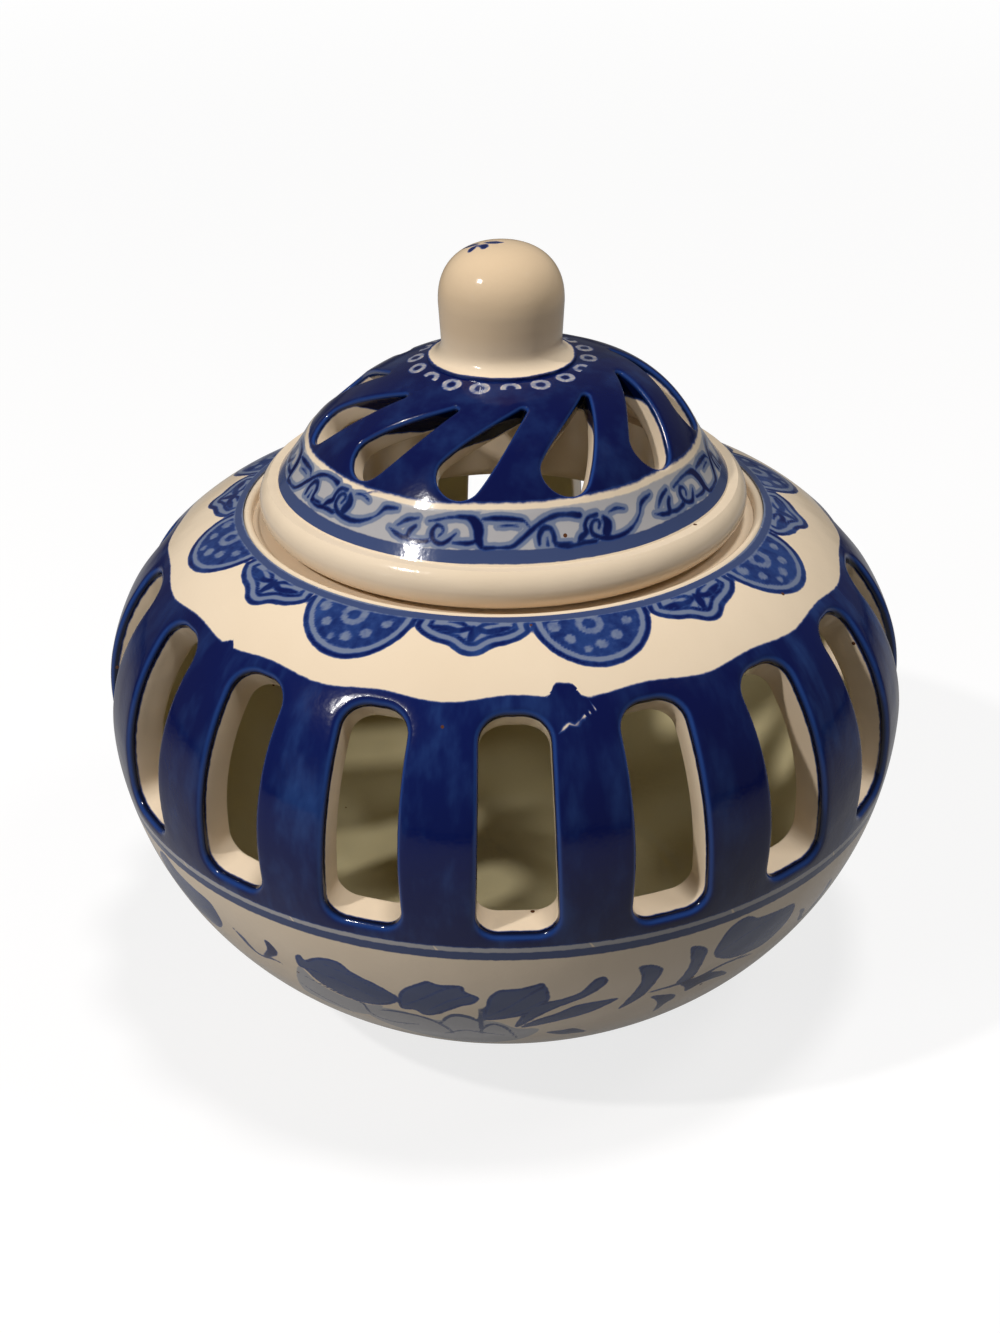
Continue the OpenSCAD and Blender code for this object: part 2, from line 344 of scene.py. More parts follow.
def makeGlaze():
    material, tree = newFinish("glazed earthenware, cobalt painted")
    spot = addNode(tree, "ShaderNodeTexCoord")["Object"]
    brush = addNode(tree, "ShaderNodeAttribute", {"attribute_name": "brushWay"})["Vector"]
    # bare is the knob's painted shade: its top is tinted darker and warmer.
    bare, cut, load = (addNode(tree, "ShaderNodeAttribute", {"attribute_name": name})["Fac"]
                       for name in ("knobShade", "cutDepth", "brushLoad"))
    noise = {}
    for name, over, detail in (("blotch", spot, 3.0), ("patch", brush, 3.0), ("streak", brush, 3.0),
                               ("edge", spot, 2.0), ("ripple", spot, 1.0), ("peel", spot, 1.0)):
        noise[name] = addNode(tree, "ShaderNodeTexNoise", inputs={
            "Vector": over, "Scale": 1 / (glaze[name + "Mm"] * mm), "Detail": detail})[0]
    mixed = addNode(tree, "ShaderNodeMix", {"data_type": "FLOAT"}, {
        0: glaze["streakShare"], 2: noise["patch"], 3: noise["streak"]})[0]
    share = {}
    for name, value in (("inside", cut), ("mid", mixed), ("cutEdge", cut), ("cutShade", cut)):
        start, full = glaze[name + "At"]
        share[name] = addNode(tree, "ShaderNodeMapRange", smoothRamp, {
            "Value": value, "From Min": start, "From Max": full})[0]
    coats = {
        # On the cream: random blotches, then painted shade, with the knob's top darker and warmer and the
        # jar's inside darker and olive.
        "cream": [(noise["blotch"], "creamShade"), (bare, "creamKnobShade"), (share["inside"], "inside")],
        # On the cobalt: streaks, the full brush, a pale break on a cut edge, and painted shade that darkens
        # it deep in a cut.
        "cobalt": [(share["mid"], "cobaltMid"), (load, "cobaltFull"), (share["cutEdge"], "cutEdge"),
                   (share["cutShade"], "cutShade")],
    }
    mixes = {}
    for name, changes in coats.items():
        mixes[name] = linear(glaze[name])
        for amount, paint in changes:
            mixes[name] = addNode(tree, "ShaderNodeMix", colourMix, {
                0: amount, 6: mixes[name], 7: linear(glaze[paint])})[2]
    rough = glaze["edgeRough"] / paintReach
    shift = addNode(tree, "ShaderNodeMath", {"operation": "MULTIPLY_ADD"}, {
        0: noise["edge"], 1: rough, 2: -rough / 2})[0]
    colour = mixes["cream"]
    for layer in ("wash", "pale", "slate", "cobalt"):
        value = addNode(tree, "ShaderNodeAttribute", {"attribute_name": layer})["Fac"]
        inside = addNode(tree, "ShaderNodeMath", {"operation": "ADD"}, {0: value, 1: shift})[0]
        cover = addNode(tree, "ShaderNodeMapRange", smoothRamp, {
            "Value": inside, "From Min": glaze["coverAt"][0], "From Max": glaze["coverAt"][1]})[0]
        paint = linear(glaze[layer])
        if layer == "cobalt":
            deep = addNode(tree, "ShaderNodeMapRange", smoothRamp, {
                "Value": inside, "From Min": glaze["deepAt"][0], "From Max": glaze["deepAt"][1]})[0]
            paint = addNode(tree, "ShaderNodeMix", colourMix, {
                0: deep, 6: linear(glaze["cobaltThin"]), 7: mixes["cobalt"]})[2]
        colour = addNode(tree, "ShaderNodeMix", colourMix, {0: cover, 6: colour, 7: paint})[2]
    cell = addNode(tree, "ShaderNodeTexVoronoi", inputs={
        "Vector": spot, "Scale": 1 / (glaze["speckMm"] * mm)})["Distance"]
    fleck = addNode(tree, "ShaderNodeMath", {"operation": "LESS_THAN"}, {0: cell, 1: glaze["speckSize"]})[0]
    colour = addNode(tree, "ShaderNodeMix", colourMix, {0: fleck, 6: colour, 7: linear(glaze["speck"])})[2]
    normal = {}
    for name in ("ripple", "peel"):
        bump = addNode(tree, "ShaderNodeBump", inputs={
            "Height": noise[name], "Distance": glaze[name + "DepthMm"] * mm, "Strength": 1.0, **normal})
        normal = {"Normal": bump[0]}
    shader = addNode(tree, "ShaderNodeBsdfPrincipled", inputs={
        "Base Color": colour, "Roughness": glaze["roughness"], "Specular IOR Level": glaze["shine"],
        **normal})[0]
    addNode(tree, "ShaderNodeOutputMaterial", inputs={"Surface": shader})
    return material


# Bare buff clay: the foot was wiped before firing, so it is matt and gritty.
clay = {"light": "#CDBB9F", "dark": "#A89171", "gritMm": 0.9, "gritDepthMm": 0.12, "roughness": 0.85}


def makeClay():
    material, tree = newFinish("bare buff clay")
    spot = addNode(tree, "ShaderNodeTexCoord")["Object"]
    grit = addNode(tree, "ShaderNodeTexNoise", inputs={
        "Vector": spot, "Scale": 1 / (clay["gritMm"] * mm), "Detail": 4.0})[0]
    colour = addNode(tree, "ShaderNodeMix", colourMix, {
        0: grit, 6: linear(clay["dark"]), 7: linear(clay["light"])})[2]
    bump = addNode(tree, "ShaderNodeBump", inputs={
        "Height": grit, "Distance": clay["gritDepthMm"] * mm, "Strength": 1.0})[0]
    shader = addNode(tree, "ShaderNodeBsdfPrincipled", inputs={
        "Base Color": colour, "Roughness": clay["roughness"], "Normal": bump})[0]
    addNode(tree, "ShaderNodeOutputMaterial", inputs={"Surface": shader})
    return material


glazeFinish = makeGlaze()
clayFinish = makeClay()
print("finishes made")

wallSlot = {
    "count": 18, "lowZ": 54.0, "highZ": 89.9, "lowWidth": 13.4, "highWidth": 11.6,
    "lowCorner": 3.6, "highCorner": 4.8, "topZ": 92.3, "step": 0.4, "insideStep": 2.0,
    "columns": 40, "sides": 40, "outerRows": 6, "roundRows": 6, "wallRows": 4, "innerRows": 4,
    "outerRound": 1.3, "innerRound": 0.8, "wall": jar["wall"],
}
wallSlot["pitch"] = math.tau / wallSlot["count"]
wallSlot["low"] = jarWay(seamZ)
wallSlot["high"] = jarWay(wallSlot["topZ"])


# Upright slot with round corners: a list of points and the indices of its four corner middles.
def wallSlotOutline():
    steps = 31
    points = []
    for end, side, inward, start in (("low", -1, 1, 180), ("low", 1, 1, 270),
                                     ("high", 1, -1, 0), ("high", -1, -1, 90)):
        radius = wallSlot[end + "Corner"]
        centre = (side * (wallSlot[end + "Width"] / 2 - radius),
                  jarWay(wallSlot[end + "Z"]) + inward * radius)
        points.append(arcPoints(centre, radius, start, start + 90, steps))
    return np.concatenate(points), [steps // 2 + steps * i for i in range(4)]


def wallShear(way):
    return 0 * way  # the slices of the wall stand upright, as its slots do


def makeShoulder():
    wall = piercedPart(jarSurface, wallSlot, *wallSlotOutline(), wallShear)
    low, high, depth = wallSlot["low"], wallSlot["high"], jar["wall"]
    innerTop = math.sqrt((shoulderArc - depth) ** 2 - (lipR - jarR + shoulderArc) ** 2)
    innerWay = shoulderArc * math.asin(innerTop / (shoulderArc - depth))
    top = np.concatenate([
        wayPoints(jarSurface, high, jarWay(lipZ), 0, wallSlot["step"]),
        wayPoints(jarSurface, innerWay, high, depth, wallSlot["insideStep"]),
    ])
    seam = np.array([(*jarSurface(low, depth), depth), (*jarSurface(low, 0), 0)], float)
    parts = [wall] + [slicePart(p, wallSlot["columns"], wallSlot["pitch"]) for p in (top, seam)]
    return ringPiece("piercedShoulder", parts, wallSlot["count"], jar["turn"], glazeFinish)


shoulder = makeShoulder()
place(shoulder, "jar", "pierced_shoulder")

turnedCount, turnedColumns = 18, 40
turnedPitch = math.tau / turnedCount


# A plain turned piece from its section.
def turnedPiece(name, section, columns=turnedColumns, turn=0, finish=glazeFinish):
    return ringPiece(name, [slicePart(section, columns, turnedPitch)], turnedCount, turn, finish)


bowlShape = {"step": 0.55, "insideStep": 4.0, "baseStep": 6.0}


def makeBowl():
    low, floorZ = wallSlot["low"], baseZ + jar["floor"]
    innerLow = bowlArc * math.asin((floorZ - jar["bellyZ"]) / (bowlArc - jar["wall"]))
    section = np.concatenate([
        fineSection([(0, baseZ, 0), (jar["baseR"], baseZ, 0)], bowlShape["baseStep"])[:-1],
        wayPoints(jarSurface, jarWay(baseZ), low, 0, bowlShape["step"]),
        wayPoints(jarSurface, low, innerLow, jar["wall"], bowlShape["insideStep"]),
        [(0, floorZ, jar["wall"])],
    ])
    return turnedPiece("jarBowl", section, turn=jar["turn"])


bowl = makeBowl()
place(bowl, "jar", "jar_bowl")

foot = {"width": 5.0, "bevel": 0.8, "step": 0.8}


def makeFoot():
    inR, bevel = footR - foot["width"], foot["bevel"]
    section = fineSection([
        (inR, baseZ), (inR, bevel), (inR + bevel, 0), (footR - bevel, 0), (footR, bevel), (footR, baseZ),
        (inR, baseZ),
    ], foot["step"])
    return turnedPiece("footRing", section, turnedColumns // 2, finish=clayFinish)


footRing = makeFoot()
place(footRing, "jar", "foot_ring")

gallery = {"mouthR": 38.0, "lipWidth": 1.7, "seatDepth": 2.0, "edgeRound": 1.0, "step": 0.8}


def makeGallery():
    seatZ, seatR = lipZ - gallery["seatDepth"], lipR - gallery["lipWidth"]
    lipRound, edge = gallery["lipWidth"] / 2, gallery["edgeRound"]
    edgeR = gallery["mouthR"] + edge
    section = np.concatenate([
        [(lipR, ledgeZ)],
        arcPoints((lipR - lipRound, lipZ - lipRound), lipRound, 0, 180, 9),
        [(seatR, seatZ)],
        arcPoints((edgeR, seatZ - edge), edge, 90, 180, 6),
        arcPoints((edgeR, ledgeZ + edge), edge, 180, 270, 6),
        [(lipR, ledgeZ)],
    ])
    return turnedPiece("mouthGallery", fineSection(section, gallery["step"]), turn=jar["turn"])


mouth = makeGallery()
place(mouth, "jar", "mouth_gallery")

leafSlot = {
    "count": 11, "width": 8.0, "tipWidth": 1.6, "length": 16.4, "lean": math.radians(37), "lowGap": 2.4,
    "fullness": 1.5, "marginLow": 0.25, "marginHigh": 4.0,
    "columns": 60, "sides": 44, "outerRows": 6, "roundRows": 5, "wallRows": 4, "innerRows": 4,
    "outerRound": 0.8, "innerRound": 0.6, "wall": lid["wall"],
}
leafSlot["pitch"] = math.tau / leafSlot["count"]
leafSlot["midWay"] = (domeLow + leafSlot["lowGap"] + leafSlot["width"] / 2
                      + leafSlot["length"] / 2 * math.cos(leafSlot["lean"]))
leafSlot["low"] = domeLow + leafSlot["marginLow"]
leafSlot["high"] = domeHigh - leafSlot["marginHigh"]


# Leaning leaf with a round low end, full sides and a narrow high end, laid out on the dome.
def leafOutline():
    wide, tip, length = leafSlot["width"] / 2, leafSlot["tipWidth"] / 2, leafSlot["length"]
    steps = 41
    low = arcPoints((0, 0), wide, 180, 360, steps)
    rise = np.linspace(0, 1, steps)[1:-1]
    side = np.stack([tip + (wide - tip) * (1 - rise ** leafSlot["fullness"]), rise * length], axis=1)
    high = arcPoints((0, length), tip, 0, 180, steps)
    points = np.concatenate([low, side, high, side[::-1] * (-1, 1)]) - (0, length / 2)
    turn = -leafSlot["lean"]
    spin = np.array([[math.cos(turn), -math.sin(turn)], [math.sin(turn), math.cos(turn)]])
    points = points @ spin.T + (0, leafSlot["midWay"])
    top = len(low) + len(side)
    return points, [steps // 5, steps - 1 - steps // 5, top + steps // 6, top + steps - 1 - steps // 6]


# The slices lean with the leaves, so that each leaf stays inside its own slice.
def leafShear(way):
    return (way - leafSlot["midWay"]) * math.tan(leafSlot["lean"]) / domeSurface(leafSlot["midWay"], 0)[0]


def makeDome():
    wall = piercedPart(domeSurface, leafSlot, *leafOutline(), leafShear)
    low, high, depth = leafSlot["low"], leafSlot["high"], lid["wall"]
    slope = fineSection([(skirtR, skirtZ, 0), (lid["bandR"], lid["bandZ"], 0)], lid["bandStep"])
    along = (slope[:, 1] - skirtZ) / bandHigh
    slope[:, 0] -= lid["bandHollow"] * 4 * along * (1 - along)
    skirt = np.concatenate([
        wayPoints(domeSurface, low, domeLow, depth, lid["underStep"]),
        [(skirtR - depth * bandLong / bandHigh, skirtZ, depth)],
        slope,
        wayPoints(domeSurface, domeLow, low, 0, lid["bandStep"])[1:],
    ])
    crown = np.concatenate([
        wayPoints(domeSurface, high, domeHigh, 0, lid["crownStep"]), [(0, crownZ, 0)]])
    under = np.concatenate([
        [(0, crownZ - depth, depth)], wayPoints(domeSurface, domeHigh, high, depth, lid["underStep"])])
    columns, pitch = leafSlot["columns"], leafSlot["pitch"]
    parts = [wall, slicePart(skirt, columns, pitch, leafShear(low))]
    parts += [slicePart(p, columns, pitch, leafShear(high)) for p in (crown, under)]
    return ringPiece("lidDome", parts, leafSlot["count"], lid["turn"], glazeFinish)


dome = makeDome()


# The dome slumped a little in the kiln: it stands fuller on one side.
def slumpDome():
    azimuth, reach, height, _ = pointPlaces(dome)
    way = domeArc * np.arctan2(height - domeZ, reach)
    rise = np.clip((way - domeLow) / (domeHigh - domeLow), 0, 1)
    side = (0.5 + 0.5 * np.cos(np.radians(azimuth - lid["slumpAt"]))) ** 2
    grow = 1 + lid["slump"] * np.sin(math.pi * rise) * side / domeArc
    points = turned(reach * grow, np.radians(azimuth), domeZ + (height - domeZ) * grow) * mm
    dome.data.vertices.foreach_set("co", points.astype(np.float32).ravel())
    dome.data.update()


slumpDome()
place(dome, "lid", "lid_dome")

roll = {"radius": 4.2, "step": 0.6}
flange = {"width": 3.7, "edge": 1.0, "step": 1.0}
flangeIn = flangeR - flange["width"]


def makeRoll():
    centre = (rimR - roll["radius"], rimZ + roll["radius"])
    top = math.degrees(math.asin((skirtZ - centre[1]) / roll["radius"]))
    section = np.concatenate([
        [(flangeIn, rimZ)], arcPoints(centre, roll["radius"], -90, top, 24),
        [(flangeIn, skirtZ), (flangeIn, rimZ)],
    ])
    return turnedPiece("lidRoll", fineSection(section, roll["step"]))


lidRoll = makeRoll()
place(lidRoll, "lid", "lid_rim")


def makeFlange():
    edge = flange["edge"]
    section = np.concatenate([
        [(flangeR, rimZ), (flangeIn, rimZ)],
        arcPoints((flangeIn + edge, flangeZ + edge), edge, 180, 270, 5),
        arcPoints((flangeR - edge, flangeZ + edge), edge, 270, 360, 5),
        [(flangeR, rimZ)],
    ])
    return turnedPiece("lidFlange", fineSection(section, flange["step"]), turnedColumns // 2)


lidFlange = makeFlange()
place(lidFlange, "lid", "lid_flange")

# "bare" is how much the knob's top is tinted darker and warmer as painted shade, from one height above the
# crown to another.
knob = {
    "radius": 11.2, "spread": 2.6, "edge": 0.5, "domeHigh": 10.2, "squareness": 2.35, "step": 0.7,
    "creamTo": 12.95, "wobble": (0.1, 1.7), "bare": 0.55, "shadeFrom": 2.0, "shadeFull": 7.0,
    "sprig": [
        [(-6.6, 1.8, 0.5), (-5.2, 1.4, 1.6), (-3.8, 0.9, 0.5)],
        [(-3.4, 0.2, 0.4), (-2.9, -1.0, 1.7), (-3.0, -2.4, 0.6)],
        [(-4.2, 0.2, 0.4), (-5.0, -0.9, 1.4), (-5.4, -2.0, 0.5)],
        [(-2.8, 1.0, 0.4), (-1.3, 0.5, 1.7), (0.3, 0.4, 0.6)],
    ],
}


# Thimble: a coved base, nearly straight sides and a full, flattened top.
def makeKnob():
    neckZ = crownZ + knob["edge"] + knob["spread"]
    shoulderZ = knobZ - knob["domeHigh"]
    angle = np.radians(np.linspace(0, 90, 25))
    power = 2 / knob["squareness"]
    top = np.stack([knob["radius"] * np.cos(angle) ** power,
                    shoulderZ + knob["domeHigh"] * np.sin(angle) ** power], axis=1)
    top[-1, 0] = 0
    section = np.concatenate([
        [(0, crownZ), (crownR, crownZ)], arcPoints((crownR, neckZ), knob["spread"], 270, 180, 8), top])
    return turnedPiece("lidKnob", fineSection(section, knob["step"]), turnedColumns // 4)


lidKnob = makeKnob()
place(lidKnob, "lid", "lid_knob")


# Smooth curve through given points; a third column, where there is one, is the brush's width.
def smoothPath(points, closed=False, steps=6):
    points = np.array(points, float)
    if closed:
        padded = np.concatenate([points[-1:], points, points[:2]])
    else:
        padded = np.concatenate([2 * points[:1] - points[1:2], points, 2 * points[-1:] - points[-2:-1]])
    t = (np.arange(steps) / steps)[:, None]
    out = []
    for a, b, c, d in zip(padded[:-3], padded[1:-2], padded[2:-1], padded[3:]):
        out.append(0.5 * (2 * b + (c - a) * t + (2 * a - 5 * b + 4 * c - d) * t ** 2
                          + (3 * b - a - 3 * c + d) * t ** 3))
    return np.concatenate(out + [padded[-2:-1]])


# Which places are near enough to a path to be measured.
def nearPath(x, y, path, margin):
    low, high = path[:, :2].min(axis=0) - margin, path[:, :2].max(axis=0) + margin
    return (x > low[0]) & (x < high[0]) & (y > low[1]) & (y < high[1])


# Distance of places from one step of a path, and how far along the step they stand, from 0 to 1.
def stepGap(x, y, a, b):
    dx, dy = b[0] - a[0], b[1] - a[1]
    t = np.clip(((x - a[0]) * dx + (y - a[1]) * dy) / (dx * dx + dy * dy + tiny), 0, 1)
    return np.hypot(x - a[0] - dx * t, y - a[1] - dy * t), t


# How far inside a filled outline each place is, in millimetres.
def patch(x, y, points):
    path = smoothPath(points, closed=True)
    near = nearPath(x, y, path, paintReach / 2)
    inside = np.full(x.shape, -paintReach)
    px, py = x[near], y[near]
    gap = np.full(px.shape, paintReach)
    within = np.zeros(px.shape, bool)
    for a, b in zip(path[:-1], path[1:]):
        dx, dy = b - a
        gap = np.minimum(gap, stepGap(px, py, a, b)[0])
        within ^= ((a[1] > py) != (b[1] > py)) & (px < a[0] + dx * (py - a[1]) / (dy if dy else tiny))
    inside[near] = np.where(within, gap, -gap)
    return inside


# How far inside a brush stroke each place is; the stroke is a list of (x, y, width) in millimetres.
def stroke(x, y, points):
    path = smoothPath(points)
    near = nearPath(x, y, path, path[:, 2].max() / 2 + paintReach / 2)
    inside = np.full(x.shape, -paintReach)
    best = inside[near]
    for a, b in zip(path[:-1], path[1:]):
        gap, t = stepGap(x[near], y[near], a, b)
        best = np.maximum(best, (a[2] + (b[2] - a[2]) * t) / 2 - gap)
    inside[near] = best
    return inside


# Strokes and filled outlines together, repeated at a pitch along x.
def drawn(x, y, shapes, pitch=0.0):
    inside = np.full(x.shape, -paintReach)
    for points in shapes:
        draw = stroke if len(points[0]) > 2 else patch
        for shift in (-pitch, 0, pitch) if pitch else (0,):
            inside = np.maximum(inside, draw(x + shift, y, points))
    return inside


# Painted line of a given width that follows an edge from inside, some way in.
def lineInside(inside, start, width):
    return width / 2 - np.abs(inside - start - width / 2)


def dots(x, y, many):
    inside = np.full(x.shape, -paintReach)
    for cx, cy, radius in many:
        inside = np.maximum(inside, radius - np.hypot(x - cx, y - cy))
    return inside


handWaves = [(3, 1.0, 1.0), (7, 0.6, 2.1), (13, 0.4, 4.0)]  # waves round the pot, their height and phase


# A slow unevenness of the hand round the pot, in millimetres. Each "wobble" is its size and phase.
def handWobble(azimuth, size, phase):
    turn = np.radians(azimuth)
    return size * sum(tall * np.sin(count * turn + shift * phase) for count, tall, shift in handWaves)


# A swelling of an edge: the middle and half width of it in degrees, its height and how square it is.
def swell(azimuth, middle, half, up, square):
    return up * np.exp(-((azimuth - middle) / half) ** square)


# Degrees from the nearest of a ring of marks.
def fromMark(azimuth, first, pitch):
    return (azimuth - first + pitch / 2) % pitch - pitch / 2


# Lappet border on the shoulder: round and bracket-shaped ones in turn, hanging from a blue ring at the lip.
# Shapes are (across, out from the lip) in millimetres, with a brush's width or a dot's radius third.
lappet = {
    "pitch": 45.0, "roundAt": 16.6, "bracketAt": -5.8, "ringFrom": 0.1, "ringDepth": 1.5,
    "roundHalf": 10.3, "roundStart": 2.4, "roundDepth": 9.6, "wobble": (0.15, 1.0),
    "outline": 1.15, "paleLine": 0.8, "innerLine": 0.95, "coreFull": 0.21,
    "eye": (-0.6, 3.0), "eyeRing": (2.3, 1.2), "pipFull": 0.06,
    "beads": [(-6.6, 2.9, 1.05), (-4.6, 5.8, 0.85), (-2.4, 8.2, 0.65), (0.2, 7.6, 0.95), (3.2, 6.2, 0.95),
              (5.8, 3.6, 0.8)],
    "bracket": [(-10.0, -6.0), (-10.0, 0.0), (-9.8, 3.2), (-8.4, 5.0), (-6.2, 6.2), (-3.8, 6.9), (-1.9, 8.3),
                (0, 8.8), (1.9, 8.3), (3.8, 6.9), (6.2, 6.2), (8.4, 5.0), (9.8, 3.2), (10.0, 0.0),
                (10.0, -6.0)],
    "sprig": [
        [(0, 2.6, 1.0), (0.2, 3.9, 1.9), (-0.1, 5.0, 1.5), (-0.2, 6.0, 0.8)],
        [(-0.6, 3.0, 1.3), (-2.4, 3.6, 1.4), (-4.4, 3.2, 1.6), (-6.4, 3.0, 1.0)],
        [(0.6, 3.0, 1.3), (2.4, 3.6, 1.4), (4.2, 3.2, 1.6), (6.0, 2.7, 1.0)],
        [(-0.8, 2.8, 1.0), (-2.0, 1.9, 1.0), (-4.0, 1.6, 0.7)],
        [(0.8, 2.8, 1.0), (2.0, 1.9, 1.0), (3.8, 1.6, 0.7)],
    ],
}


def paintLappets(azimuth, reach, way):
    out = jarWay(lipZ) - way + handWobble(azimuth, *lappet["wobble"])
    arcMm = math.radians(1) * reach
    x = fromMark(azimuth, lappet["roundAt"], lappet["pitch"]) * arcMm
    lift = np.maximum(out - lappet["roundStart"], 0)
    a, b = lappet["roundHalf"], lappet["roundDepth"]
    ratio = np.hypot(x / a, lift / b) + tiny
    roundIn = (1 - ratio) * ratio / np.hypot(x / a ** 2, lift / b ** 2 + tiny)
    eye = np.hypot(x - lappet["eye"][0], out - lappet["eye"][1])
    eyeRing = np.minimum(lappet["eyeRing"][0] - eye, eye - lappet["eyeRing"][1])
    pips = np.minimum(np.maximum(dots(x, out, lappet["beads"]), eyeRing), lappet["pipFull"])
    inner = lappet["outline"] + lappet["paleLine"]
    core = np.minimum(roundIn - inner, lappet["coreFull"])
    roundDark = np.maximum(lineInside(roundIn, 0, lappet["outline"]), np.minimum(core, -pips))
    x = fromMark(azimuth, lappet["bracketAt"], lappet["pitch"]) * arcMm
    bracketIn = np.minimum(patch(x, out, lappet["bracket"]), -roundIn)
    bracketDark = np.maximum(lineInside(bracketIn, 0, lappet["outline"]),
                             lineInside(bracketIn, inner, lappet["innerLine"]))
    bracketDark = np.maximum(bracketDark, np.minimum(drawn(x, out, lappet["sprig"]), bracketIn - inner))
    ring = np.minimum(lappet["ringDepth"] - out, out - lappet["ringFrom"])
    cobalt = np.minimum(np.maximum(roundDark, bracketDark), out - lappet["ringDepth"])
    return np.maximum(roundIn, bracketIn), ring, cobalt


# Cobalt wall between the slots, with its brushed edges, and the two lines under it.
wallPaint = {
    "lowZ": 51.6, "highZ": 91.5, "arch": 0.55, "topWobble": (0.22, 0.4), "lowWobble": (0.08, 2.2),
    "blob": (9.0, 2.1, 2.7, 6), "spike": (-48.0, 0.7, 1.6, 2), "cutEdge": 1.7,
    "loads": 4, "loadAt": 25.0, "loadFull": 0.62, "loadMargin": 1.0,
    "lineLow": 48.7, "lineHigh": 50.6, "gapOverlap": 0.3, "flawGlintFull": 0.06,
    # flawGlint is a pale zigzag left bare in the cobalt near its top: partly a glaze flaw, partly a painted
    # reflection of a glint.
    "flawGlint": [(7.6, 87.4, 0.3), (8.8, 88.4, 0.45), (10.4, 88.3, 0.45), (11.4, 89.1, 0.45), (13.0, 89.8, 0.3)],
}


# The pale line and the slate line under the cobalt wall.
def wallLines(way):
    low, mid, high = (jarWay(wallPaint[name]) for name in ("lineLow", "lineHigh", "lowZ"))
    return np.minimum(way - mid, high - way) + wallPaint["gapOverlap"], np.minimum(way - low, mid - way)


def paintShoulder():
    azimuth, reach, height, depth = pointPlaces(shoulder)
    outer = depth < wallSlot["outerRound"]
    way = jarWay(height)
    arches = np.cos(np.radians(wallSlot["count"] * (azimuth - math.degrees(jar["turn"]))))
    top = jarWay(wallPaint["highZ"]) + wallPaint["arch"] * arches
    top = top + handWobble(azimuth, *wallPaint["topWobble"])
    top = top + swell(azimuth, *wallPaint["blob"]) + swell(azimuth, *wallPaint["spike"])
    low = jarWay(wallPaint["lowZ"]) - handWobble(azimuth, *wallPaint["lowWobble"])
    scale = math.radians(1) * jarR
    # A pale zigzag left bare in the cobalt near its top: partly a glaze flaw, partly a painted reflection of
    # a glint.
    flawGlint = stroke(azimuth * scale, way, [(p[0] * scale, jarWay(p[1]), p[2]) for p in wallPaint["flawGlint"]])
    wall = np.minimum(np.minimum(way - low, top - way), -np.minimum(flawGlint, wallPaint["flawGlintFull"]))
    wall = np.minimum(wall, wallPaint["cutEdge"] - depth)
    pale, ring, cobalt = paintLappets(azimuth, reach, way)
    gap, line = wallLines(way)
    storePaint(shoulder, outer, {"wash": gap, "pale": pale, "slate": np.maximum(ring, line)})
    storePaint(shoulder, True, {"cobalt": np.maximum(wall, np.where(outer, cobalt, -paintReach))})
    load = 0.5 + 0.5 * np.cos(np.radians(wallPaint["loads"] * (azimuth - wallPaint["loadAt"])))
    load = np.where(wall > -wallPaint["loadMargin"], wallPaint["loadFull"] * load, 0)
    storeBrush(shoulder, azimuth, way, jarR, load)


